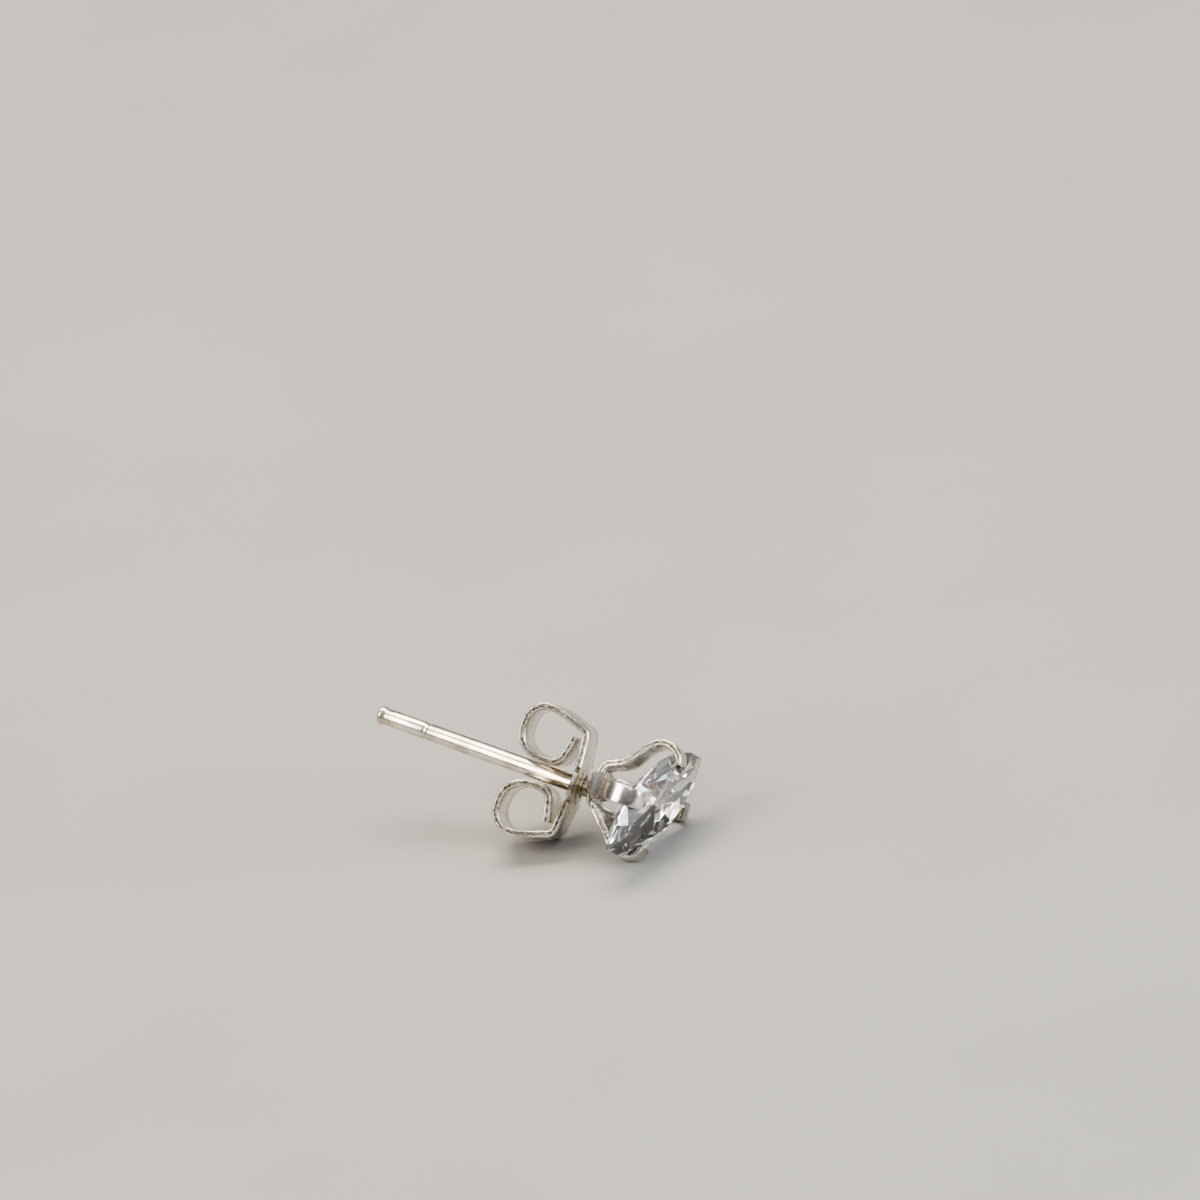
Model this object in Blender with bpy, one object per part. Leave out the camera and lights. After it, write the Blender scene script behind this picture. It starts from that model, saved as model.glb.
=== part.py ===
"""Stud earring: a claw-set marquise stone on a straight post, with its butterfly clutch, lying on its side.

The pieces are shaped in millimetres in the stud's own frame: Z runs up the post to the stone, X along the
stone's long axis and Y across it, with zero at the pad's underside in the middle of the stone. The whole
stud is then laid on the ground as it comes to rest by itself.
"""

import math

import bmesh
import bpy
from mathutils import Matrix, Vector

MM = 0.001

# Stone: a marquise brilliant
STONE_LENGTH = 8.0
STONE_WIDTH = 4.0
CROWN_HEIGHT = 0.60
GIRDLE_THICKNESS = 0.10
PAVILION_DEPTH = 1.60
TABLE_SHARE = 0.58
GIRDLE_FLATS_PER_QUARTER = 4
STAR_SLOPE_SHARE = 0.66
UPPER_HALF_STEEPER = math.radians(7.0)
LOWER_HALF_STEEPER = math.radians(3.5)
GIRDLE_ABOVE_PAD = 3.10
STONE_SEAT_GAP = 0.05

# Setting: a cross of sheet with four claws bent up from a round pad
SHEET = 0.33
PAD_DIAMETER = 1.50
PAD_OFF_CENTRE = 0.32
CLAW_DIRECTION = math.radians(40.0)
CLAW_REACH = 2.75
# How far each hand-bent claw spreads, as a share of the reach: upper right, upper left, lower left and
# lower right
CLAW_SPREADS = (1.00, 1.02, 0.98, 1.13)
CLAW_WIDTH = 0.96
CLAW_EDGE_ROUND = 0.07
# Middle of a claw's sheet: out, as a share of the reach, up, as a share of the girdle's height, and the
# claw's width and thickness there, as shares of the full width and of the sheet
CLAW_ROWS = (
    (0.000, 0.053, 0.90, 1.00),
    (0.240, 0.053, 0.90, 1.00),
    (0.350, 0.110, 1.00, 1.00),
    (0.415, 0.255, 1.10, 1.00),
    (0.505, 0.390, 1.16, 1.00),
    (0.670, 0.500, 1.14, 1.00),
    (0.860, 0.620, 1.06, 1.00),
    (0.975, 0.755, 1.00, 1.00),
    (1.000, 0.885, 0.98, 1.00),
    (0.970, 1.005, 0.96, 1.00),
    (0.885, 1.110, 0.90, 0.90),
    (0.750, 1.170, 0.78, 0.66),
)

# Post: soldered to the pad's underside
POST_DIAMETER = 0.80
POST_LENGTH = 11.80
POST_OFF_CENTRE = 0.50
POST_TIP_DIAMETER = 0.88
POST_NECK_DIAMETER = 0.74
POST_NOTCH_FROM_TIP = 2.60
POST_NOTCH_LENGTH = 0.36
POST_NOTCH_DIAMETER = 0.72
SOLDER_SPREAD = 0.20
SOLDER_HEIGHT = 0.18
ROUND_SIDES = 32

# Clutch: one stamped strip, its two arms rolled back into scrolls that grip the post
STRIP_THICKNESS = 0.33
STRIP_WIDTH = 2.40
PLATE_WIDTH_SHARE = 1.34
CLUTCH_REACH = 3.00
CLUTCH_DEPTH = 2.82
CLUTCH_FROM_PAD = 1.02
CLUTCH_TURN = math.radians(230.0)
CLUTCH_LEAN = math.radians(-16.0)
CLUTCH_HOLE_DIAMETER = 1.14
CLUTCH_COLLAR_DIAMETER = 1.62
CLUTCH_COLLAR_HEIGHT = 0.16
CLUTCH_EDGE_ROUND = 0.05
# Middle of the strip: out from the post, as a share of the reach, towards the post's tip, as a share of
# the depth, and the strip's width there, as a share of the full width
CLUTCH_ROWS = (
    (0.000, -0.085, PLATE_WIDTH_SHARE),
    (0.160, -0.085, PLATE_WIDTH_SHARE * 0.98),
    (0.330, -0.078, PLATE_WIDTH_SHARE * 0.90),
    (0.540, -0.052, 1.06),
    (0.740, -0.025, 1.00),
    (0.832, 0.034, 1.00),
    (0.873, 0.160, 1.00),
    (0.960, 0.425, 1.00),
    (1.000, 0.690, 1.00),
    (0.950, 0.851, 1.00),
    (0.800, 0.975, 1.00),
    (0.583, 1.000, 1.00),
    (0.390, 0.943, 1.00),
    (0.267, 0.809, 1.00),
    (0.209, 0.610, 1.00),
    (0.213, 0.390, 1.00),
    (0.300, 0.245, 1.00),
    (0.467, 0.190, 1.00),
    (0.683, 0.150, 1.00),
)
CURVE_STEPS = 4

# Densities in grams per cubic millimetre, which settle how the stud comes to rest
SILVER_DENSITY = 0.01036
ZIRCONIA_DENSITY = 0.00580

# The side that lies down, in the stud's frame
LYING_SIDE = Vector((0.0, -1.0, -0.1))


def clear_scene():
    for old in list(bpy.data.objects):
        bpy.data.objects.remove(old, do_unlink=True)


def material(name, colour, metallic, roughness, transmission=0.0, ior=1.5):
    made = bpy.data.materials.new(name)
    made.use_nodes = True
    shader = made.node_tree.nodes["Principled BSDF"]
    shader.inputs["Base Color"].default_value = (*colour, 1.0)
    shader.inputs["Metallic"].default_value = metallic
    shader.inputs["Roughness"].default_value = roughness
    shader.inputs["Transmission Weight"].default_value = transmission
    shader.inputs["IOR"].default_value = ior
    return made


def mesh_from(bm, name):
    mesh = bpy.data.meshes.new(name)
    bm.to_mesh(mesh)
    bm.free()
    return mesh


def helper(mesh):
    """An object that only takes part in a Boolean."""
    made = bpy.data.objects.new(mesh.name, mesh)
    bpy.context.scene.collection.objects.link(made)
    made.hide_render = True
    made.display_type = "WIRE"
    return made


def combined(base, others, operation, name):
    """The mesh of base after a Boolean with each of the other meshes."""
    body = helper(base)
    tools = [helper(mesh) for mesh in others]
    for tool in tools:
        step = body.modifiers.new(operation.title(), "BOOLEAN")
        step.operation = operation
        step.solver = "EXACT"
        step.object = tool
    graph = bpy.context.evaluated_depsgraph_get()
    result = bpy.data.meshes.new_from_object(body.evaluated_get(graph))
    result.name = name
    for used in [body, *tools]:
        bpy.data.objects.remove(used, do_unlink=True)
    return result


def smooth_rows(rows):
    """The rows with more between them, on a smooth curve that passes through each."""
    extended = [rows[0], *rows, rows[-1]]
    made = []
    for first, start, end, last in zip(extended, extended[1:], extended[2:], extended[3:]):
        for step in range(CURVE_STEPS):
            share = step / CURVE_STEPS
            row = []
            for before, here, there, after in zip(first, start, end, last):
                slope = (there - before) / 2
                next_slope = (after - here) / 2
                rise = there - here
                square = (3 * rise - 2 * slope - next_slope) * share**2
                cube = (slope + next_slope - 2 * rise) * share**3
                row.append(here + slope * share + square + cube)
            made.append(row)
    made.append(list(rows[-1]))
    return made


def strip_mesh(name, rows, edge_round):
    """A strip along rows of X, Z, width and thickness, centred on Y = 0, with its long edges rounded."""
    bm = bmesh.new()
    rings = []
    for index, (out, up, width, thickness) in enumerate(rows):
        before = rows[max(index - 1, 0)]
        after = rows[min(index + 1, len(rows) - 1)]
        along = Vector((after[0] - before[0], 0.0, after[1] - before[1])).normalized()
        across = Vector((-along.z, 0.0, along.x)) * thickness / 2
        middle = Vector((out, 0.0, up))
        ring = []
        for side, face in ((-1, -1), (1, -1), (1, 1), (-1, 1)):
            ring.append(bm.verts.new(middle + across * face + Vector((0.0, side * width / 2, 0.0))))
        rings.append(ring)
    long_edges = []
    for first, second in zip(rings, rings[1:]):
        for corner in range(4):
            after = (corner + 1) % 4
            bm.faces.new((first[corner], first[after], second[after], second[corner]))
        long_edges += [bm.edges.get(pair) for pair in zip(first, second)]
    bm.faces.new(rings[0][::-1])
    bm.faces.new(rings[-1])
    end_edges = [bm.edges.get((rings[-1][corner], rings[-1][corner - 1])) for corner in range(4)]
    bmesh.ops.recalc_face_normals(bm, faces=bm.faces)
    bmesh.ops.bevel(
        bm,
        geom=long_edges + end_edges,
        offset=edge_round,
        segments=2,
        profile=0.5,
        affect="EDGES",
        material=-1,
    )
    bmesh.ops.recalc_face_normals(bm, faces=bm.faces)
    return mesh_from(bm, name)


def turned_mesh(name, profile):
    """A body turned round Z from rows of radius and height that start and end on the axis."""
    bm = bmesh.new()
    line = [bm.verts.new((radius, 0.0, height)) for radius, height in profile]
    edges = [bm.edges.new(pair) for pair in zip(line, line[1:])]
    bmesh.ops.spin(
        bm,
        geom=line + edges,
        cent=(0, 0, 0),
        axis=(0, 0, 1),
        angle=2 * math.pi,
        steps=ROUND_SIDES,
        use_merge=True,
    )
    bmesh.ops.remove_doubles(bm, verts=bm.verts, dist=1e-5)
    bmesh.ops.recalc_face_normals(bm, faces=bm.faces)
    return mesh_from(bm, name)


def girdle_arc():
    """Radius of the marquise's two arcs, and how far their centres lie across from the middle."""
    half_length = STONE_LENGTH / 2
    half_width = STONE_WIDTH / 2
    radius = (half_length**2 + half_width**2) / (2 * half_width)
    return radius, radius - half_width


def girdle_width_at(along):
    radius, offset = girdle_arc()
    return math.sqrt(radius**2 - along**2) - offset


def girdle_corners():
    """Corners of the marquise outline, anticlockwise from the +X tip."""
    radius, offset = girdle_arc()
    tip_angle = math.asin(offset / radius)
    count = 2 * GIRDLE_FLATS_PER_QUARTER
    corners = []
    for side in (1, -1):
        for step in range(count):
            angle = tip_angle + (math.pi - 2 * tip_angle) * step / count
            across = radius * math.sin(angle) - offset
            corners.append(Vector((side * radius * math.cos(angle), side * across, 0.0)))
    return corners


def cut_flat(bm, point, outward):
    """Cuts away what lies beyond one flat and closes the cut."""
    bmesh.ops.bisect_plane(
        bm,
        geom=bm.verts[:] + bm.edges[:] + bm.faces[:],
        dist=1e-5,
        plane_co=point,
        plane_no=outward,
        clear_outer=True,
    )
    opened = [edge for edge in bm.edges if edge.is_boundary]
    if opened:
        bmesh.ops.holes_fill(bm, edges=opened)


def sloped(outward, slope, up):
    """Normal of a facet that leans from the girdle's outward direction by its slope."""
    return outward * math.sin(slope) + Vector((0, 0, up)) * math.cos(slope)


def stone_mesh():
    """The marquise brilliant, cut from its outline facet by facet."""
    corners = girdle_corners()
    count = len(corners)
    half_girdle = GIRDLE_THICKNESS / 2
    bm = bmesh.new()
    floor = [bm.verts.new(corner + Vector((0, 0, -PAVILION_DEPTH - half_girdle))) for corner in corners]
    base = bm.faces.new(floor)
    lifted = bmesh.ops.extrude_face_region(bm, geom=[base])
    height = PAVILION_DEPTH + GIRDLE_THICKNESS + CROWN_HEIGHT
    risen = [item for item in lifted["geom"] if isinstance(item, bmesh.types.BMVert)]
    bmesh.ops.translate(bm, verts=risen, vec=(0, 0, height))
    bmesh.ops.recalc_face_normals(bm, faces=bm.faces)

    girdle_top = Vector((0, 0, half_girdle))
    girdle_foot = -girdle_top
    inset = 1.0 - TABLE_SHARE
    mains = range(0, count, 2)
    for index in mains:
        corner = corners[index]
        before = corners[index - 1]
        after = corners[(index + 1) % count]
        along = (after - before).normalized()
        outward = Vector((along.y, -along.x, 0.0))
        reach = corner.dot(outward)
        cut_flat(bm, corner + girdle_top, sloped(outward, math.atan2(CROWN_HEIGHT, inset * reach), 1))
        cut_flat(bm, corner + girdle_foot, sloped(outward, math.atan2(PAVILION_DEPTH, reach), -1))
    for index in range(count):
        corner = corners[index]
        after = corners[(index + 1) % count]
        along = (after - corner).normalized()
        outward = Vector((along.y, -along.x, 0.0))
        reach = corner.dot(outward)
        crown_slope = math.atan2(CROWN_HEIGHT, inset * reach) + UPPER_HALF_STEEPER
        pavilion_slope = math.atan2(PAVILION_DEPTH, reach) + LOWER_HALF_STEEPER
        cut_flat(bm, corner + girdle_top, sloped(outward, crown_slope, 1))
        cut_flat(bm, corner + girdle_foot, sloped(outward, pavilion_slope, -1))
    for index in mains:
        first = corners[index] * TABLE_SHARE
        second = corners[(index + 2) % count] * TABLE_SHARE
        along = (second - first).normalized()
        outward = Vector((along.y, -along.x, 0.0))
        reach = first.dot(outward) / TABLE_SHARE
        slope = math.atan2(CROWN_HEIGHT, inset * reach) * STAR_SLOPE_SHARE
        table = Vector((0, 0, half_girdle + CROWN_HEIGHT))
        cut_flat(bm, first + table, sloped(outward, slope, 1))
    bmesh.ops.remove_doubles(bm, verts=bm.verts, dist=1e-4)
    bmesh.ops.recalc_face_normals(bm, faces=bm.faces)
    bmesh.ops.translate(bm, verts=bm.verts, vec=(0, 0, GIRDLE_ABOVE_PAD))
    return mesh_from(bm, "marquise_stone")


def claw_mesh(direction, spread):
    rows = []
    for out, up, width, thickness in smooth_rows(CLAW_ROWS):
        reach = out * CLAW_REACH * spread
        rows.append((reach, up * GIRDLE_ABOVE_PAD, width * CLAW_WIDTH, thickness * SHEET))
    mesh = strip_mesh("claw", rows, CLAW_EDGE_ROUND)
    mesh.transform(Matrix.Rotation(direction, 4, "Z"))
    return mesh


def pad_mesh():
    radius = PAD_DIAMETER / 2
    soft = SHEET / 4
    profile = (
        (0, 0),
        (radius - soft, 0),
        (radius, soft),
        (radius, SHEET - soft),
        (radius - soft, SHEET),
        (0, SHEET),
    )
    mesh = turned_mesh("pad", profile)
    mesh.transform(Matrix.Translation((0, -PAD_OFF_CENTRE, 0)))
    return mesh


def post_mesh():
    """The post with its swollen tip, its friction groove and the solder at its foot."""
    radius = POST_DIAMETER / 2
    tip = -POST_LENGTH
    groove = tip + POST_NOTCH_FROM_TIP
    half_groove = POST_NOTCH_LENGTH / 2
    tip_radius = POST_TIP_DIAMETER / 2
    profile = (
        (0, tip),
        (tip_radius * 0.72, tip),
        (tip_radius, tip + 0.10),
        (tip_radius, tip + 0.22),
        (POST_NECK_DIAMETER / 2, tip + 0.42),
        (radius, tip + 0.70),
        (radius, groove - half_groove),
        (POST_NOTCH_DIAMETER / 2, groove - half_groove / 3),
        (POST_NOTCH_DIAMETER / 2, groove + half_groove / 3),
        (radius, groove + half_groove),
        (radius, -SOLDER_HEIGHT),
        (radius + SOLDER_SPREAD * 0.3, -SOLDER_HEIGHT * 0.5),
        (radius + SOLDER_SPREAD, 0.0),
        (radius + SOLDER_SPREAD, SHEET / 2),
        (0, SHEET / 2),
    )
    mesh = turned_mesh("post", profile)
    mesh.transform(Matrix.Translation((0, -POST_OFF_CENTRE, 0)))
    return mesh


def eased_stone():
    """The stone grown by the seat's gap, which cuts the seats in the claws."""
    mesh = stone_mesh()
    girdle = Matrix.Translation((0, 0, GIRDLE_ABOVE_PAD))
    grown = []
    for half in (STONE_LENGTH / 2, STONE_WIDTH / 2, CROWN_HEIGHT):
        grown.append(1 + STONE_SEAT_GAP / half)
    mesh.transform(girdle @ Matrix.Diagonal((*grown, 1.0)) @ girdle.inverted())
    return mesh


def setting_mesh():
    turns = (CLAW_DIRECTION, math.pi - CLAW_DIRECTION, math.pi + CLAW_DIRECTION, -CLAW_DIRECTION)
    claws = [claw_mesh(turn, spread) for turn, spread in zip(turns, CLAW_SPREADS)]
    joined = combined(pad_mesh(), [post_mesh(), *claws], "UNION", "setting_union")
    return combined(joined, [eased_stone()], "DIFFERENCE", "claw_setting_with_post")


def clutch_mesh():
    """The clutch, on the post and leaning in its hole's play."""
    arm = []
    for out, down, width in smooth_rows(CLUTCH_ROWS):
        arm.append((out * CLUTCH_REACH, -down * CLUTCH_DEPTH, width * STRIP_WIDTH, STRIP_THICKNESS))
    mirrored = [(-out, down, width, thickness) for out, down, width, thickness in arm[:0:-1]]
    strip = strip_mesh("strip", mirrored + arm, CLUTCH_EDGE_ROUND)
    collar_radius = CLUTCH_COLLAR_DIAMETER / 2
    plate_middle = -CLUTCH_ROWS[0][1] * CLUTCH_DEPTH
    plate_top = plate_middle + STRIP_THICKNESS / 2
    collar_rows = (
        (0, plate_middle),
        (collar_radius + CLUTCH_COLLAR_HEIGHT, plate_middle),
        (collar_radius, plate_top + CLUTCH_COLLAR_HEIGHT),
        (0, plate_top + CLUTCH_COLLAR_HEIGHT),
    )
    hole_radius = CLUTCH_HOLE_DIAMETER / 2
    foot = plate_middle - STRIP_THICKNESS
    head = plate_top + 2 * CLUTCH_COLLAR_HEIGHT
    hole = turned_mesh("hole", ((0, foot), (hole_radius, foot), (hole_radius, head), (0, head)))
    raised = combined(strip, [turned_mesh("collar", collar_rows)], "UNION", "strip_with_collar")
    mesh = combined(raised, [hole], "DIFFERENCE", "butterfly_clutch")
    lean = Matrix.Rotation(CLUTCH_LEAN, 4, "X")
    turn = Matrix.Rotation(CLUTCH_TURN, 4, "Z")
    place = Matrix.Translation((0, -POST_OFF_CENTRE, -CLUTCH_FROM_PAD))
    mesh.transform(place @ turn @ lean @ Matrix.Translation((0, 0, -plate_middle)))
    return mesh


def weight_and_balance(mesh, density):
    """Weight in grams, and weight times the centre of gravity."""
    mesh.calc_loop_triangles()
    weight = 0.0
    moment = Vector()
    for triangle in mesh.loop_triangles:
        a, b, c = (mesh.vertices[index].co for index in triangle.vertices)
        part = a.cross(b).dot(c) / 6 * density
        weight += part
        moment += (a + b + c) / 4 * part
    return weight, moment


def resting_side(meshes):
    """Normal of the side it rests on: the hull's steady flat that is nearest to the lying side."""
    weight = 0.0
    moment = Vector()
    hull = bmesh.new()
    for mesh, density in meshes:
        more, turned = weight_and_balance(mesh, density)
        weight += more
        moment += turned
        hull.from_mesh(mesh)
    balance = moment / weight
    made = bmesh.ops.convex_hull(hull, input=hull.verts, use_existing_faces=False)
    faces = [item for item in made["geom"] if isinstance(item, bmesh.types.BMFace)]
    best = None
    for face in faces:
        corners = [vert.co.copy() for vert in face.verts]
        normal = (corners[1] - corners[0]).cross(corners[2] - corners[0])
        if normal.length < 1e-4:
            continue
        normal.normalize()
        if normal.dot(corners[0] - balance) < 0:
            normal.negate()
            corners.reverse()
        steady = all(
            (second - first).cross(balance - first).dot(normal) > 0
            for first, second in zip(corners, corners[1:] + corners[:1])
        )
        fit = normal.dot(LYING_SIDE.normalized())
        if steady and (best is None or fit > best[0]):
            best = (fit, normal, corners[0])
    hull.free()
    return best[1], best[2]


def laid_down(normal, point):
    """Turns the side that lies down to face the ground, with the post pointing left."""
    up = -normal
    post = Vector((0, 0, 1))
    right = (post - up * post.dot(up)).normalized()
    away = up.cross(right)
    return Matrix((right, away, up)).to_4x4() @ Matrix.Translation(-point)


def node(mesh, name, made_of, smooth):
    mesh.name = name
    mesh.transform(Matrix.Scale(MM, 4))
    if smooth:
        mesh.shade_smooth()
        mesh.set_sharp_from_angle(angle=math.radians(35.0))
    mesh.materials.clear()
    mesh.materials.append(made_of)
    made = bpy.data.objects.new(name, mesh)
    bpy.context.scene.collection.objects.link(made)
    return made


def build():
    clear_scene()
    stone = stone_mesh()
    setting = setting_mesh()
    clutch = clutch_mesh()
    weighed = ((stone, ZIRCONIA_DENSITY), (setting, SILVER_DENSITY), (clutch, SILVER_DENSITY))
    lay = laid_down(*resting_side(weighed))
    meshes = (stone, setting, clutch)
    for mesh in meshes:
        mesh.transform(lay)
    points = [vert.co for mesh in meshes for vert in mesh.vertices]
    low = Vector([min(point[axis] for point in points) for axis in range(3)])
    high = Vector([max(point[axis] for point in points) for axis in range(3)])
    to_origin = Matrix.Translation((-(low.x + high.x) / 2, -(low.y + high.y) / 2, -low.z))
    for mesh in meshes:
        mesh.transform(to_origin)
    clear = material("clear_zirconia", (0.93, 0.95, 0.96), 0.0, 0.02, 1.0, 2.15)
    silver = material("polished_silver", (0.86, 0.84, 0.79), 1.0, 0.18)
    bent_silver = material("stamped_silver", (0.82, 0.80, 0.74), 1.0, 0.25)
    node(stone, "marquise_stone", clear, False)
    node(setting, "claw_setting_with_post", silver, True)
    node(clutch, "butterfly_clutch", bent_silver, True)


build()
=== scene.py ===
import math

import bmesh
import bpy
from mathutils import Matrix, Vector, noise


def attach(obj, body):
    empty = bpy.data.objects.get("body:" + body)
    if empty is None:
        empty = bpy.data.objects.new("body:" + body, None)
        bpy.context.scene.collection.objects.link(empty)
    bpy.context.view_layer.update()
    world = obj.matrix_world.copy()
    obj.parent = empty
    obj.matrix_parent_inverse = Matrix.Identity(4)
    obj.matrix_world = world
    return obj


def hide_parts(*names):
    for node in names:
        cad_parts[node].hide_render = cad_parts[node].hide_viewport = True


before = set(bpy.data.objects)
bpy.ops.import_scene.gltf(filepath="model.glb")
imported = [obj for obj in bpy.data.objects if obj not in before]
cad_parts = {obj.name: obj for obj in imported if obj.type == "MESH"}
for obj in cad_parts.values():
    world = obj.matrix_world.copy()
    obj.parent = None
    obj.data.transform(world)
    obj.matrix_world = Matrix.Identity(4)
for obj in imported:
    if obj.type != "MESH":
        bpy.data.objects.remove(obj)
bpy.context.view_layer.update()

MM = 0.001

# The stud's own axes as it lies, and the middle of its stone's girdle
LONG_AXIS = Vector((0.013682, 0.997895, 0.063392))
ACROSS_AXIS = Vector((0.210529, -0.064852, 0.975434))
STONE_AXIS = Vector((0.977492, 0.0, -0.210973))
STONE_CENTRE = Vector((0.0068899, 0.0, 0.0021903))

# Camera: the picture's width at the stone, and the picture's centre seen from the stone
FRAME_WIDTH = 54.55 * MM
PICTURE_CENTRE = Vector((-2.44 * MM, 9.26 * MM))
CAMERA_DISTANCE = 700 * MM
CAMERA_SENSOR = 36.0
CAMERA_AZIMUTH = math.radians(38.216)
CAMERA_ELEVATION = math.radians(25.881)
CAMERA_ROLL = math.radians(-11.194)

# Soft panels: how far right, up and back towards the camera, and width and height, in metres; watts; tint
LIGHTS = (
    ("overhead", (-0.05, 0.30, 0.02), (0.26, 0.16), 1.35, "#FFF4E4"),
    ("front", (-0.26, 0.10, 0.18), (0.14, 0.22), 1.0, "#FFF8EE"),
    ("camera_side", (0.04, 0.16, 0.36), (0.10, 0.08), 0.25, "#F4F8FF"),
    ("right_side", (0.30, 0.02, 0.16), (0.20, 0.26), 2.2, "#EAF4FF"),
)

# The studio's walls: dim at their lowest height, where 0 is level and 1 overhead, and brighter upwards
STUDIO_LOWEST = -0.2
STUDIO_STOPS = ((0.15, "#5C6064"), (0.45, "#A4A8AC"), (0.85, "#F2F5F8"))
STUDIO_STRENGTH = 0.62
FLOOR_HALF_WIDTH = 0.6

# Patterns: how many lumps in a millimetre
TARNISH_PER_MM = 0.8
METAL_WEAR_PER_MM = 6.0
RIPPLES_PER_MM = 2.4
STONE_DRIFT_PER_MM = 0.8
STONE_WEAR_PER_MM = 12.0
MOTTLE_PER_MM = 0.05

# Tears in a sheared edge, about 0.2 mm long: their fineness, depth beside the ripples, added roughness
TEAR_STRETCH = (3.2, 2.6, 1.0)
TEAR_SCALE = 1.6
TEAR_DEPTH = 1.6
TORN_ROUGHNESS = 0.22

# What follows is in millimetres, in the stud's own frame: X along the stone, Z along the post towards it
GIRDLE_ABOVE_PAD = 3.10
SHEET = 0.33
EDGE_ROUND_SHARE = 0.26
CORNER_POINTS = 4
FLAT_POINTS = 2
ROUND_SIDES = 64
CURVE_STEPS = 8
MERGE = 1e-5

# Sheared edges waver: how quickly along and through the sheet, how far off the other edge's draws are,
# and how far out, as a share of the width, the edge starts
WAVER_ALONG = 3.0
WAVER_THROUGH = 6.0
OTHER_EDGE = 7
EDGE_SHARE = 0.45

# The stone: the polished rounding along its facet edges, and the metal's distance from it
FACET_MERGE = 0.002
SAME_FACET = math.radians(0.4)
FACET_ROUND = 0.010
SEAT_GAP = 0.03

# Claws: out, as a share of the reach, up, as a share of the girdle's height, width and thickness shares
CLAW_REACH = 2.75
CLAW_WIDTH = 0.96
CLAW_DIRECTION = math.radians(40.0)
CLAW_ROWS = (
    (0.000, 0.053, 0.90, 1.00),
    (0.240, 0.053, 0.90, 1.00),
    (0.350, 0.110, 1.00, 1.00),
    (0.415, 0.255, 1.10, 1.00),
    (0.505, 0.390, 1.16, 1.00),
    (0.670, 0.500, 1.14, 1.00),
    (0.860, 0.620, 1.06, 1.00),
    (0.975, 0.755, 1.00, 1.00),
    (0.998, 0.885, 0.98, 1.00),
    (0.968, 1.005, 0.96, 1.00),
    (0.885, 1.108, 0.90, 0.90),
    (0.760, 1.166, 0.76, 0.62),
)

# How much the claws' sheared edges waver, and how far apart their draws of noise are
CLAW_WAVER = 0.05
CLAW_DRAWS = 3.7

# How far each hand-bent claw spreads and how wide its root is, and where the root ends
CLAW_SPREADS = (1.00, 1.02, 0.98, 1.13)
CLAW_ROOT_WIDTHS = (1.00, 1.20, 1.50, 1.00)
CLAW_ROOT_SHARE = 0.62

# One claw was twisted as it was bent, most at this share of the girdle's height
TWISTED_CLAW = 2
TWIST = 0.75
TWIST_MIDDLE = 0.36
TWIST_SPREAD = 0.34

# Burrs along the twisted claw's edge: from which of its smoothed rows, up to which, and every how many,
# then their size, how much it varies, the draws of noise for that, and how far out on the edge they sit
BURR_ROWS = (20, 46, 3)
BURR_RADIUS = 0.085
BURR_UNEVENNESS = 0.03
BURR_DRAWS = 1.7
BURR_DRAW_OFFSET = 0.3
BURR_SEAT = 0.97

# Pad and post, with the solder between them as rows of radius and height
PAD_RADIUS = 0.75
PAD_OFF_CENTRE = 0.32
PAD_FOOT = 0.005
PAD_TOP_SINK = 0.02
POST_OFF_CENTRE = 0.50
POST_LENGTH = 11.80
SOLDER_ROWS = (
    (0.000, -0.18),
    (0.405, -0.18),
    (0.420, -0.11),
    (0.460, -0.05),
    (0.530, -0.01),
    (0.600, 0.03),
    (0.580, 0.10),
    (0.000, 0.10),
)
SOLDER_UNEVENNESS = 0.03
SOLDER_LUMPS = 2.3

# The post as rows of radius and place: its swollen tip from the tip, the notch that the clutch clicks into
# from the notch's middle, and its plain shank from the pad
TIP_ROWS = (
    (0.000, 0.00),
    (0.270, 0.00),
    (0.360, 0.02),
    (0.420, 0.07),
    (0.437, 0.14),
    (0.430, 0.22),
    (0.395, 0.33),
    (0.372, 0.42),
    (0.382, 0.55),
    (0.398, 0.70),
    (0.400, 0.90),
)
NOTCH_FROM_TIP = 2.60
NOTCH_ROWS = ((0.400, -0.18), (0.385, -0.12), (0.362, -0.06), (0.362, 0.06), (0.385, 0.12), (0.400, 0.18))
SHANK_ROWS = ((0.400, -6.0), (0.400, -3.0), (0.400, -0.1), (0.000, 0.0))

# Clutch: out, as a share of the reach, towards the post's tip, as a share of the depth, and width share
STRIP_WIDTH = 2.40
CLUTCH_REACH = 3.00
CLUTCH_DEPTH = 2.82
CLUTCH_FROM_PAD = 1.02
CLUTCH_TURN = math.radians(230.0)
CLUTCH_LEAN = math.radians(-16.0)
ARM_ROWS = (
    (0.280, -0.085, 1.24),
    (0.380, -0.074, 1.16),
    (0.540, -0.052, 1.05),
    (0.740, -0.025, 1.00),
    (0.832, 0.034, 1.00),
    (0.873, 0.160, 1.00),
    (0.960, 0.425, 1.00),
    (0.995, 0.690, 1.00),
    (0.948, 0.851, 1.00),
    (0.800, 0.975, 1.00),
    (0.583, 1.000, 1.00),
    (0.390, 0.943, 1.00),
    (0.267, 0.809, 1.00),
    (0.209, 0.610, 1.00),
    (0.213, 0.390, 1.00),
    (0.300, 0.245, 1.00),
    (0.467, 0.190, 1.00),
    (0.683, 0.150, 0.98),
)

# How much the arms' sheared edges waver, and how far apart their draws of noise are
ARM_WAVER = 0.012
ARM_DRAWS = 11.0

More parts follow.
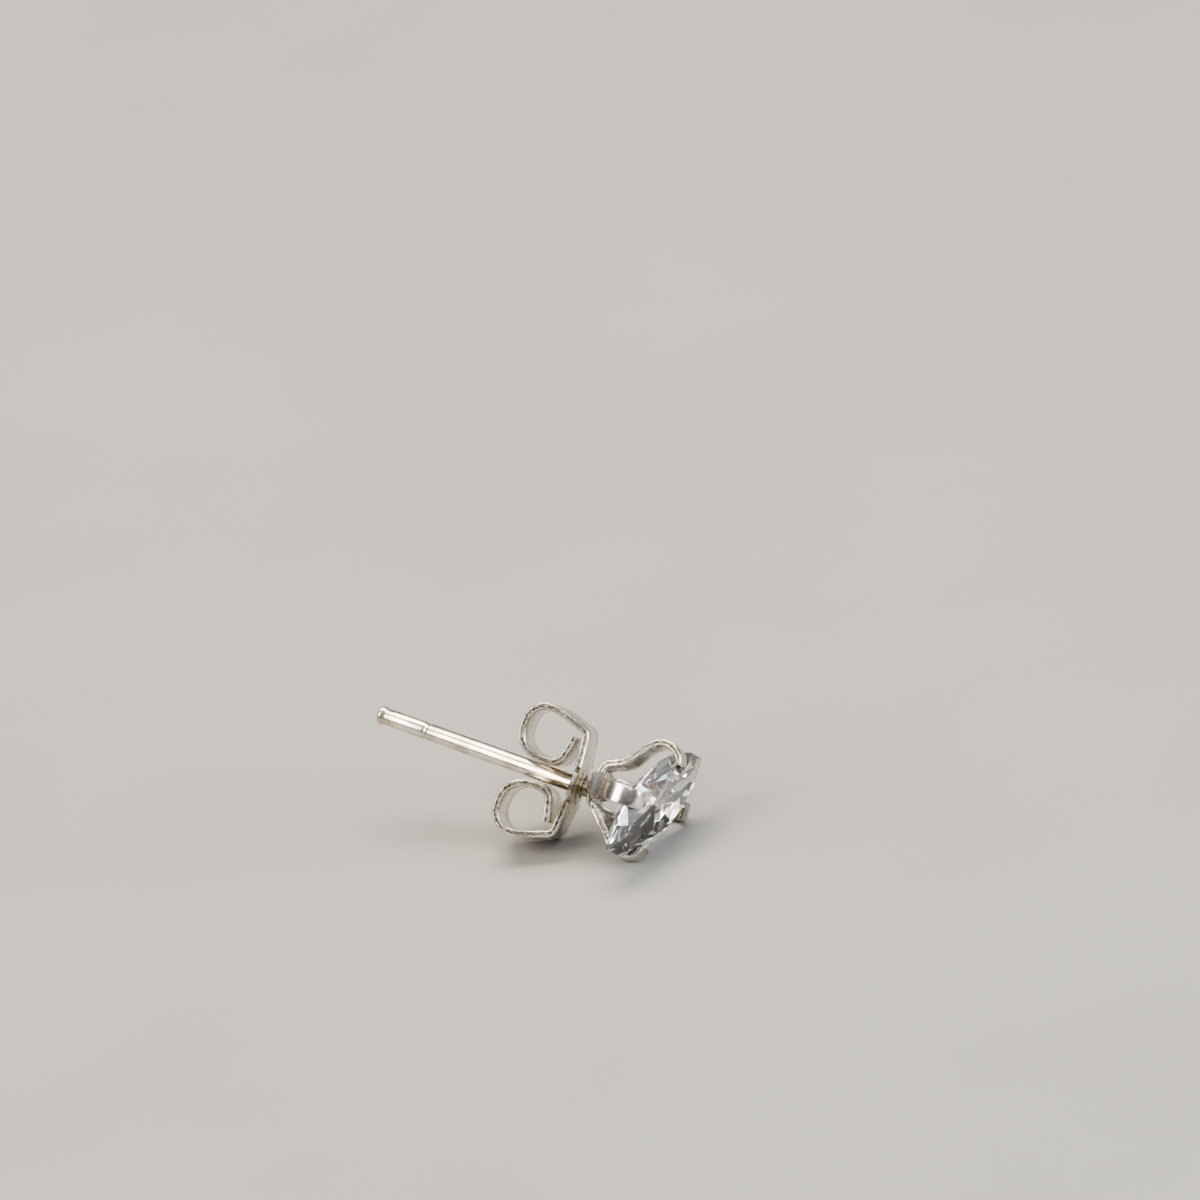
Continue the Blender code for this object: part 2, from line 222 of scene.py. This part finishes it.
# The clutch's plate, its hole and the raised collar round it, with how far their edges are rounded
PLATE_RADIUS = 1.16
PLATE_HALF_WIDTH = 1.58
HOLE_RADIUS = 0.57
HOLE_FOOT_ROUND = 0.04
HOLE_ROUND = 0.05
HOLE_SHOULDER = 0.6
COLLAR_RADIUS = 0.81
COLLAR_HEIGHT = 0.11
COLLAR_OUTER_ROUND = 0.04
COLLAR_TOP_ROUND = 0.05
COLLAR_SHOULDER = 0.7

body_axes = Matrix((LONG_AXIS, ACROSS_AXIS, STONE_AXIS)).transposed().to_4x4()
to_stone = Matrix.Translation(STONE_CENTRE) @ body_axes
to_row_frame = to_stone @ Matrix.Scale(MM, 4) @ Matrix.Translation((0, 0, -GIRDLE_ABOVE_PAD))


def colour(code):
    """A linear colour from an sRGB hex code."""
    made = []
    for place in (1, 3, 5):
        value = int(code[place:place + 2], 16) / 255
        made.append(value / 12.92 if value <= 0.04045 else ((value + 0.055) / 1.055) ** 2.4)
    return (*made, 1.0)


def link(tree, node, links):
    """Links sockets, or the first outputs of nodes, into a node's named or numbered inputs."""
    for name, source in links.items():
        socket = source.outputs[0] if isinstance(source, bpy.types.Node) else source
        tree.links.new(socket, node.inputs[name])


def add(tree, kind, settings=None, links=None):
    """Adds a node with its settings, a colour ramp's stops among them, and with links into its inputs."""
    made = tree.nodes.new(kind)
    for name, value in (settings or {}).items():
        if name == "stops":
            elements = made.color_ramp.elements
            while len(elements) < len(value):
                elements.new(0.5)
            for element, (place, code) in zip(elements, value):
                element.position = place
                element.color = colour(code)
        elif isinstance(name, str) and hasattr(made, name):
            setattr(made, name, value)
        else:
            made.inputs[name].default_value = value
    link(tree, made, links or {})
    return made


def new_material(name):
    made = bpy.data.materials.new(name)
    made.use_nodes = True
    tree = made.node_tree
    tree.nodes.clear()
    shader = add(tree, "ShaderNodeBsdfPrincipled")
    add(tree, "ShaderNodeOutputMaterial", None, {"Surface": shader})
    return made, tree, shader


def noise_at(tree, place, per_mm, detail, stretch=(1.0, 1.0, 1.0), turn=(0.0, 0.0, 0.0)):
    """Noise with that many lumps in a millimetre of the object's own coordinates."""
    turned = add(tree, "ShaderNodeMapping", {"vector_type": "TEXTURE", "Rotation": turn}, {"Vector": place})
    to_mm = {"Scale": [share / MM for share in stretch]}
    scaled = add(tree, "ShaderNodeMapping", to_mm, {"Vector": turned})
    return add(tree, "ShaderNodeTexNoise", {"Scale": per_mm, "Detail": detail}, {"Vector": scaled})


def silver(name, light, dark, roughness, *grain):
    """Sterling silver: bright and a little warm, with thin tarnish in clouds about a millimetre wide.

    Making and wear leave it uneven: fine wear changes its gloss, and broader ripples bend what it mirrors.
    """
    made, tree, shader = new_material(name)
    place = add(tree, "ShaderNodeTexCoord").outputs["Object"]
    tarnish = noise_at(tree, place, TARNISH_PER_MM, 4.0)
    tint = add(tree, "ShaderNodeValToRGB", {"stops": ((0.36, dark), (0.58, light))}, {"Fac": tarnish})
    wear = noise_at(tree, place, METAL_WEAR_PER_MM, 5.0, *grain)
    wear_range = {"From Min": 0.3, "From Max": 0.7, "To Min": roughness[0], "To Max": roughness[1]}
    rough = add(tree, "ShaderNodeMapRange", wear_range, {"Value": wear})
    ripples = noise_at(tree, place, RIPPLES_PER_MM, 3.0, *grain)
    shader.inputs["Metallic"].default_value = 1.0
    return made, tree, shader, tint, rough, ripples


def plain_silver(name, light, dark, roughness, ripple_depth, *grain):
    made, tree, shader, tint, rough, ripples = silver(name, light, dark, roughness, *grain)
    bump = add(tree, "ShaderNodeBump", {"Distance": ripple_depth * MM}, {"Height": ripples})
    link(tree, shader, {"Base Color": tint, "Roughness": rough, "Normal": bump})
    return made


def sheet_silver(name, light, dark, roughness, ripple_depth):
    """Silver sheet: short dark tears run along the middle of its sheared edges, and their rims are smooth."""
    made, tree, shader, tint, rough, ripples = silver(name, light, dark, roughness)
    side = add(tree, "ShaderNodeAttribute", {"attribute_name": "side"}).outputs["Fac"]
    across = add(tree, "ShaderNodeAttribute", {"attribute_name": "across"}).outputs["Fac"]
    along = add(tree, "ShaderNodeAttribute", {"attribute_name": "along"}).outputs["Fac"]
    edge = add(tree, "ShaderNodeMapRange", {"From Min": 0.93, "From Max": 0.97}, {"Value": side})
    from_middle = add(tree, "ShaderNodeMath", {"operation": "ABSOLUTE"}, {0: across})
    middle_range = {"From Min": 0.25, "From Max": 0.62, "To Min": 1.0, "To Max": 0.0}
    middle = add(tree, "ShaderNodeMapRange", middle_range, {"Value": from_middle})
    torn = add(tree, "ShaderNodeMath", {"operation": "MULTIPLY"}, {0: edge, 1: middle})

    on_edge = add(tree, "ShaderNodeCombineXYZ", None, {"X": along, "Y": across})
    stretched = add(tree, "ShaderNodeMapping", {"Scale": TEAR_STRETCH}, {"Vector": on_edge})
    tears = add(tree, "ShaderNodeTexNoise", {"Scale": TEAR_SCALE, "Detail": 4.0}, {"Vector": stretched})
    tear_range = {"From Min": 0.40, "From Max": 0.55, "To Min": 0.25, "To Max": 1.0}
    tear_share = add(tree, "ShaderNodeMapRange", tear_range, {"Value": tears})
    tear = add(tree, "ShaderNodeMath", {"operation": "MULTIPLY"}, {0: torn, 1: tear_share})

    # A Mix node of colours has its factor at input 0, its colours at 6 and 7, and its result at output 2
    # The tears are coloured a near-black brown, darkest where they sink deepest
    tear_darkening = {"data_type": "RGBA", 7: colour("#3A342A")}
    darkened_tears = add(tree, "ShaderNodeMix", tear_darkening, {0: tear, 6: tint}).outputs[2]
    added = add(tree, "ShaderNodeMath", {"operation": "MULTIPLY", 1: TORN_ROUGHNESS}, {0: torn})
    rougher = add(tree, "ShaderNodeMath", {"operation": "ADD"}, {0: rough, 1: added})
    sunk = add(tree, "ShaderNodeMath", {"operation": "MULTIPLY", 1: TEAR_DEPTH}, {0: tear})
    height = add(tree, "ShaderNodeMath", {"operation": "SUBTRACT"}, {0: ripples, 1: sunk})
    bump = add(tree, "ShaderNodeBump", {"Distance": ripple_depth * MM}, {"Height": height})
    link(tree, shader, {"Base Color": darkened_tears, "Roughness": rougher, "Normal": bump})
    return made


def zirconia():
    """Cubic zirconia: clear and faintly worn, with a high index that gives bright and dark facets.

    A faint green and pink drift through the stone stands for its strong dispersion.
    """
    made, tree, shader = new_material("cubic_zirconia")
    place = add(tree, "ShaderNodeTexCoord").outputs["Object"]
    drift = noise_at(tree, place, STONE_DRIFT_PER_MM, 1.0)
    stops = ((0.36, "#DCF1EC"), (0.50, "#FDFDFD"), (0.64, "#FBE7EE"))
    tint = add(tree, "ShaderNodeValToRGB", {"stops": stops}, {"Fac": drift})
    wear = noise_at(tree, place, STONE_WEAR_PER_MM, 4.0)
    wear_range = {"From Min": 0.45, "From Max": 0.75, "To Min": 0.0, "To Max": 0.02}
    rough = add(tree, "ShaderNodeMapRange", wear_range, {"Value": wear})
    link(tree, shader, {"Base Color": tint, "Roughness": rough})
    shader.inputs["Transmission Weight"].default_value = 1.0
    shader.inputs["IOR"].default_value = 2.15
    return made


def painted_board():
    """Smooth painted board: pale and matt, with a very faint mottle some 20 millimetres wide."""
    made, tree, shader = new_material("painted_board")
    place = add(tree, "ShaderNodeTexCoord").outputs["Object"]
    mottle = noise_at(tree, place, MOTTLE_PER_MM, 2.0)
    stops = ((0.3, "#989692"), (0.7, "#9D9B97"))
    tint = add(tree, "ShaderNodeValToRGB", {"stops": stops}, {"Fac": mottle})
    link(tree, shader, {"Base Color": tint})
    shader.inputs["Roughness"].default_value = 0.6
    return made


def smooth_rows(rows):
    """The rows with more between them, on a smooth curve that passes through each."""
    extended = [rows[0], *rows, rows[-1]]
    made = []
    for first, start, end, last in zip(extended, extended[1:], extended[2:], extended[3:]):
        for step in range(CURVE_STEPS):
            share = step / CURVE_STEPS
            row = []
            for before, here, there, after in zip(first, start, end, last):
                slope = (there - before) / 2
                next_slope = (after - here) / 2
                rise = there - here
                square = (3 * rise - 2 * slope - next_slope) * share**2
                cube = (slope + next_slope - 2 * rise) * share**3
                row.append(here + slope * share + square + cube)
            made.append(row)
    made.append(list(rows[-1]))
    return made


def section(width, thickness):
    """A strip's section with rounded corners, as offsets along its width and through its thickness."""
    soft = EDGE_ROUND_SHARE * thickness
    half = Vector((width / 2, thickness / 2))
    corner_turn = math.pi / 2 / (CORNER_POINTS - 1)
    corners = []
    for side, face in ((-1, -1), (1, -1), (1, 1), (-1, 1)):
        start = math.atan2(face, side) - math.pi / 4
        centre = Vector((side * (half.x - soft), face * (half.y - soft)))
        corner = []
        for step in range(CORNER_POINTS):
            angle = start + step * corner_turn
            corner.append(centre + soft * Vector((math.cos(angle), math.sin(angle))))
        corners.append(corner)
    made = []
    for corner, after in zip(corners, corners[1:] + corners[:1]):
        made += corner
        made += [corner[-1].lerp(after[0], step / (FLAT_POINTS + 1)) for step in range(1, FLAT_POINTS + 1)]
    return made


def lay_strip(bm, rows, waver, seed):
    """Adds a closed strip along rows of X, Z, width and thickness, and keeps each point's place on it."""
    along_layer = bm.verts.layers.float.get("along") or bm.verts.layers.float.new("along")
    across_layer = bm.verts.layers.float.get("across") or bm.verts.layers.float.new("across")
    side_layer = bm.verts.layers.float.get("side") or bm.verts.layers.float.new("side")
    rings = []
    run = 0.0
    for index, (out, up, width, thickness) in enumerate(rows):
        before = rows[max(index - 1, 0)]
        after = rows[min(index + 1, len(rows) - 1)]
        along = Vector((after[0] - before[0], 0.0, after[1] - before[1])).normalized()
        across = Vector((-along.z, 0.0, along.x))
        middle = Vector((out, 0.0, up))
        if index:
            run += (middle - Vector((before[0], 0.0, before[1]))).length
        ring = []
        for wide, thick in section(width, thickness):
            reach = wide
            if abs(wide) > EDGE_SHARE * width:
                draw = (run * WAVER_ALONG, thick * WAVER_THROUGH, seed + (OTHER_EDGE if wide > 0 else 0))
                reach = wide * (1 - abs(waver * noise.noise(Vector(draw))))
            vert = bm.verts.new(middle + across * thick + Vector((0.0, reach, 0.0)))
            vert[along_layer] = run
            vert[across_layer] = thick / (thickness / 2)
            vert[side_layer] = abs(wide) / (width / 2)
            ring.append(vert)
        rings.append(ring)
    count = len(rings[0])
    for first, second in zip(rings, rings[1:]):
        for corner in range(count):
            after = (corner + 1) % count
            bm.faces.new((first[corner], first[after], second[after], second[corner]))
    bm.faces.new(rings[0][::-1])
    bm.faces.new(rings[-1])
    return [vert for ring in rings for vert in ring]


def spun(bm, profile, closed=False):
    """Turns rows of radius and height round Z; a closed profile makes a ring."""
    line = [bm.verts.new((radius, 0.0, height)) for radius, height in profile]
    pairs = list(zip(line, line[1:]))
    if closed:
        pairs.append((line[-1], line[0]))
    edges = [bm.edges.new(pair) for pair in pairs]
    before = set(bm.verts)
    bmesh.ops.spin(
        bm,
        geom=line + edges,
        cent=(0, 0, 0),
        axis=(0, 0, 1),
        angle=2 * math.pi,
        steps=ROUND_SIDES,
        use_merge=True,
    )
    verts = line + [vert for vert in bm.verts if vert not in before]
    bmesh.ops.remove_doubles(bm, verts=verts, dist=MERGE)
    return [vert for vert in verts if vert.is_valid]


def piece(bm, name, made_of, body, nodes=(), sharp=40.0):
    """Finishes a piece: turned into the row frame, closed, facing out, riding its body."""
    bmesh.ops.transform(bm, matrix=to_row_frame, verts=bm.verts)
    bmesh.ops.remove_doubles(bm, verts=bm.verts, dist=MERGE * MM)
    bmesh.ops.recalc_face_normals(bm, faces=bm.faces)
    mesh = bpy.data.meshes.new(name)
    bm.to_mesh(mesh)
    bm.free()
    if sharp:
        mesh.shade_smooth()
        mesh.set_sharp_from_angle(angle=math.radians(sharp))
    mesh.materials.append(made_of)
    made = bpy.data.objects.new(name, mesh)
    bpy.context.scene.collection.objects.link(made)
    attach(made, body)
    if nodes:
        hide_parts(*nodes)


def stone_piece(made_of):
    """The cut stone with the narrowest polished rounding along its facet edges, which catches the light.

    Returns each facet's normal and its middle, in the stud's own frame.
    """
    bm = bmesh.new()
    bm.from_mesh(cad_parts["marquise_stone"].data)
    bmesh.ops.remove_doubles(bm, verts=bm.verts, dist=FACET_MERGE * MM)
    bmesh.ops.dissolve_limit(bm, angle_limit=SAME_FACET, verts=bm.verts, edges=bm.edges)
    to_stud = to_row_frame.inverted()
    turn = body_axes.to_3x3().inverted()
    facets = [((turn @ face.normal).normalized(), to_stud @ face.calc_center_median()) for face in bm.faces]
    bmesh.ops.bevel(
        bm,
        geom=bm.edges[:],
        offset=FACET_ROUND * MM,
        segments=1,
        profile=0.5,
        affect="EDGES",
        material=-1,
        clamp_overlap=True,
    )
    bmesh.ops.transform(bm, matrix=to_stud, verts=bm.verts)
    piece(bm, "cut_stone", made_of, "stud", ["marquise_stone"], sharp=0.0)
    return facets


def seat(verts, facets):
    """Moves the points that would be in the stone out through the facet that is nearest."""
    for vert in verts:
        depths = [(normal.dot(vert.co - point), normal) for normal, point in facets]
        nearest, normal = max(depths, key=lambda item: item[0])
        if nearest < SEAT_GAP:
            vert.co += normal * (SEAT_GAP - nearest)


def root_widened(up, root_width):
    """How much wider a claw is at this share of the girdle's height: most halfway up its root."""
    share = min(up / CLAW_ROOT_SHARE, 1.0)
    return 1 + (root_width - 1) * 4 * share * (1 - share)


def twist(verts):
    """Lifts the far edge of a claw's root, as the bending left it."""
    for vert in verts:
        share = (vert.co.z / GIRDLE_ABOVE_PAD - TWIST_MIDDLE) / TWIST_SPREAD
        vert.co.z += TWIST * max(0.0, 1 - share**2) ** 2 * (vert.co.y + CLAW_WIDTH / 2)


def claws_piece(made_of, facets):
    """Four flat claws, each bent up from the pad and hooked over the stone."""
    bm = bmesh.new()
    turns = (CLAW_DIRECTION, math.pi - CLAW_DIRECTION, math.pi + CLAW_DIRECTION, -CLAW_DIRECTION)
    for index, (turn, spread, root_width) in enumerate(zip(turns, CLAW_SPREADS, CLAW_ROOT_WIDTHS)):
        rows = []
        for out, up, width, thickness in smooth_rows(CLAW_ROWS):
            widened = width * root_widened(up, root_width) * CLAW_WIDTH
            rows.append((out * CLAW_REACH * spread, up * GIRDLE_ABOVE_PAD, widened, thickness * SHEET))
        verts = lay_strip(bm, rows, CLAW_WAVER, CLAW_DRAWS * index)
        if index == TWISTED_CLAW:
            twist(verts)
        bmesh.ops.transform(bm, matrix=Matrix.Rotation(turn, 4, "Z"), verts=verts)
        seat(verts, facets)
    piece(bm, "claws", made_of, "stud", ["claw_setting_with_post"])


def pad_piece(made_of):
    """The pad that the claws spring from, with the solder that runs out round the post."""
    bm = bmesh.new()
    soft = SHEET / 3
    profile = (
        (0, PAD_FOOT),
        (PAD_RADIUS - soft, PAD_FOOT),
        (PAD_RADIUS - soft / 3, soft / 3),
        (PAD_RADIUS, soft),
        (PAD_RADIUS, SHEET - soft),
        (PAD_RADIUS - soft / 3, SHEET - soft / 3),
        (PAD_RADIUS - soft, SHEET - PAD_TOP_SINK),
        (0, SHEET - PAD_TOP_SINK),
    )
    verts = spun(bm, profile)
    bmesh.ops.translate(bm, verts=verts, vec=(0, -PAD_OFF_CENTRE, 0))
    verts = spun(bm, SOLDER_ROWS)
    for vert in verts:
        lump = 1 + SOLDER_UNEVENNESS * noise.noise(vert.co * SOLDER_LUMPS)
        vert.co = Vector((vert.co.x * lump, vert.co.y * lump, vert.co.z))
    bmesh.ops.translate(bm, verts=verts, vec=(0, -POST_OFF_CENTRE, 0))
    piece(bm, "pad_and_solder", made_of, "stud")


def post_piece(made_of):
    """The drawn wire post, from its swollen tip past its notch to the pad."""
    bm = bmesh.new()
    tip = -POST_LENGTH
    notch = tip + NOTCH_FROM_TIP
    profile = [(radius, tip + place) for radius, place in TIP_ROWS]
    profile += [(radius, notch + place) for radius, place in NOTCH_ROWS]
    profile += SHANK_ROWS
    verts = spun(bm, profile)
    bmesh.ops.translate(bm, verts=verts, vec=(0, -POST_OFF_CENTRE, 0))
    piece(bm, "post", made_of, "stud")


def burrs_piece(made_of):
    """The torn, beaded edge that the shears left on the twisted claw."""
    bm = bmesh.new()
    turn = Matrix.Rotation(math.pi + CLAW_DIRECTION, 4, "Z")
    first, last, every = BURR_ROWS
    for index, (out, up, width, thickness) in enumerate(smooth_rows(CLAW_ROWS)[first:last:every]):
        draw = Vector((index * BURR_DRAWS, BURR_DRAW_OFFSET, 0.0))
        size = BURR_RADIUS + BURR_UNEVENNESS * noise.noise(draw)
        made = bmesh.ops.create_icosphere(bm, subdivisions=2, radius=size)
        widened = width * root_widened(up, CLAW_ROOT_WIDTHS[TWISTED_CLAW]) * CLAW_WIDTH
        reach = out * CLAW_REACH * CLAW_SPREADS[TWISTED_CLAW]
        place = Matrix.Translation((reach, -widened / 2 * BURR_SEAT, up * GIRDLE_ABOVE_PAD))
        bmesh.ops.transform(bm, matrix=turn @ place, verts=made["verts"])
    piece(bm, "sheared_burrs", made_of, "stud")


def add_plate(bm, plate_middle):
    """The clutch's oval plate, with a raised collar round its hole."""
    low = plate_middle - SHEET / 2
    high = plate_middle + SHEET / 2
    top = high + COLLAR_HEIGHT
    soft = SHEET / 4
    profile = (
        (HOLE_RADIUS + HOLE_FOOT_ROUND, low),
        (PLATE_RADIUS - soft, low),
        (PLATE_RADIUS, low + soft),
        (PLATE_RADIUS, high - soft),
        (PLATE_RADIUS - soft, high),
        (COLLAR_RADIUS + COLLAR_HEIGHT, high),
        (COLLAR_RADIUS + COLLAR_OUTER_ROUND, high + COLLAR_HEIGHT * COLLAR_SHOULDER),
        (COLLAR_RADIUS - COLLAR_TOP_ROUND, top),
        (HOLE_RADIUS + HOLE_ROUND, top),
        (HOLE_RADIUS, high + COLLAR_HEIGHT * HOLE_SHOULDER),
        (HOLE_RADIUS, low + HOLE_ROUND),
    )
    collar_foot = COLLAR_RADIUS + COLLAR_HEIGHT
    for vert in spun(bm, profile, closed=True):
        reach = math.hypot(vert.co.x, vert.co.y)
        share = min(max((reach - collar_foot) / (PLATE_RADIUS - collar_foot), 0.0), 1.0)
        vert.co.y *= 1 + (PLATE_HALF_WIDTH / PLATE_RADIUS - 1) * share


def clutch_piece(made_of):
    """The clutch: two scrolled arms from its plate, which leans on the post."""
    bm = bmesh.new()
    for mirror in (1, -1):
        rows = []
        for out, down, width in smooth_rows(ARM_ROWS):
            rows.append((out * CLUTCH_REACH, -down * CLUTCH_DEPTH, width * STRIP_WIDTH, SHEET))
        verts = lay_strip(bm, rows, ARM_WAVER, ARM_DRAWS * mirror)
        if mirror < 0:
            bmesh.ops.rotate(bm, verts=verts, cent=(0, 0, 0), matrix=Matrix.Rotation(math.pi, 3, "Z"))
    plate_middle = -ARM_ROWS[0][1] * CLUTCH_DEPTH
    add_plate(bm, plate_middle)
    lean = Matrix.Rotation(CLUTCH_LEAN, 4, "X")
    turn = Matrix.Rotation(CLUTCH_TURN, 4, "Z")
    place = Matrix.Translation((0, -POST_OFF_CENTRE, -CLUTCH_FROM_PAD))
    whole = place @ turn @ lean @ Matrix.Translation((0, 0, -plate_middle))
    bmesh.ops.transform(bm, matrix=whole, verts=bm.verts)
    piece(bm, "clutch_strip", made_of, "clutch", ["butterfly_clutch"])


def add_floor(made_of):
    bm = bmesh.new()
    bmesh.ops.create_grid(bm, x_segments=1, y_segments=1, size=FLOOR_HALF_WIDTH)
    mesh = bpy.data.meshes.new("floor")
    bm.to_mesh(mesh)
    bm.free()
    mesh.materials.append(made_of)
    made = bpy.data.objects.new("floor", mesh)
    bpy.context.scene.collection.objects.link(made)


def camera_axes():
    """The camera's right, up and back directions."""
    back = Vector((
        math.sin(CAMERA_AZIMUTH) * math.cos(CAMERA_ELEVATION),
        -math.cos(CAMERA_AZIMUTH) * math.cos(CAMERA_ELEVATION),
        math.sin(CAMERA_ELEVATION),
    ))
    level = Vector((math.cos(CAMERA_AZIMUTH), math.sin(CAMERA_AZIMUTH), 0.0))
    right = Matrix.Rotation(CAMERA_ROLL, 3, back) @ level
    return right, back.cross(right), back


def add_light(name, place, size, power, code):
    """A soft panel aimed at the stud."""
    right, up, back = camera_axes()
    spot = right * place[0] + up * place[1] + back * place[2]
    data = bpy.data.lights.new(name, "AREA")
    data.shape = "RECTANGLE"
    data.size, data.size_y = size
    data.energy = power
    data.color = colour(code)[:3]
    made = bpy.data.objects.new(name, data)
    made.location = spot
    made.rotation_euler = (-spot).to_track_quat("-Z", "Y").to_euler()
    bpy.context.scene.collection.objects.link(made)


def add_camera():
    right, up, back = camera_axes()
    aim = STONE_CENTRE + right * PICTURE_CENTRE.x + up * PICTURE_CENTRE.y
    data = bpy.data.cameras.new("camera")
    data.sensor_width = CAMERA_SENSOR
    data.lens = CAMERA_SENSOR * CAMERA_DISTANCE / FRAME_WIDTH
    data.clip_start = 0.01
    data.clip_end = 5.0
    made = bpy.data.objects.new("camera", data)
    turned = Matrix((right, up, back)).transposed().to_4x4()
    made.matrix_world = Matrix.Translation(aim + back * CAMERA_DISTANCE) @ turned
    bpy.context.scene.collection.objects.link(made)
    bpy.context.scene.camera = made


def add_studio():
    """Plain walls round the stud, dim low down and brighter overhead."""
    world = bpy.data.worlds.new("studio")
    world.use_nodes = True
    tree = world.node_tree
    place = add(tree, "ShaderNodeTexCoord").outputs["Generated"]
    height = add(tree, "ShaderNodeSeparateXYZ", None, {"Vector": place}).outputs["Z"]
    share = add(tree, "ShaderNodeMapRange", {"From Min": STUDIO_LOWEST}, {"Value": height})
    walls = add(tree, "ShaderNodeValToRGB", {"stops": STUDIO_STOPS}, {"Fac": share})
    sky = tree.nodes["Background"]
    link(tree, sky, {"Color": walls})
    sky.inputs["Strength"].default_value = STUDIO_STRENGTH
    bpy.context.scene.world = world


# Silver sheet, bent and polished by hand: the clearest mirror of the four
polished = sheet_silver("polished_silver", "#E8E3DA", "#B9B1A3", (0.14, 0.28), 0.010)
# Silver sheet stamped into a clutch and left so: duller, with deeper ripples
stamped = sheet_silver("stamped_silver", "#E2DCD1", "#ABA394", (0.18, 0.34), 0.012)
# Silver wire drawn through a die: its wear and ripples run long along the post
along_post = ((0.12, 1.0, 1.0), (0.0, math.asin(-STONE_AXIS.z), 0.0))
drawn = plain_silver("drawn_wire_silver", "#E8E0D2", "#B9B0A0", (0.20, 0.34), 0.004, *along_post)
# Silver solder, left as it ran: the darkest and most satin of the four
soldered = plain_silver("soldered_silver", "#DFD9CE", "#AAA294", (0.24, 0.40), 0.016)
facets = stone_piece(zirconia())
claws_piece(polished, facets)
pad_piece(soldered)
post_piece(drawn)
burrs_piece(soldered)
clutch_piece(stamped)

add_floor(painted_board())
for light in LIGHTS:
    add_light(*light)
add_studio()
bpy.context.scene.view_settings.look = "AgX - Medium High Contrast"
add_camera()
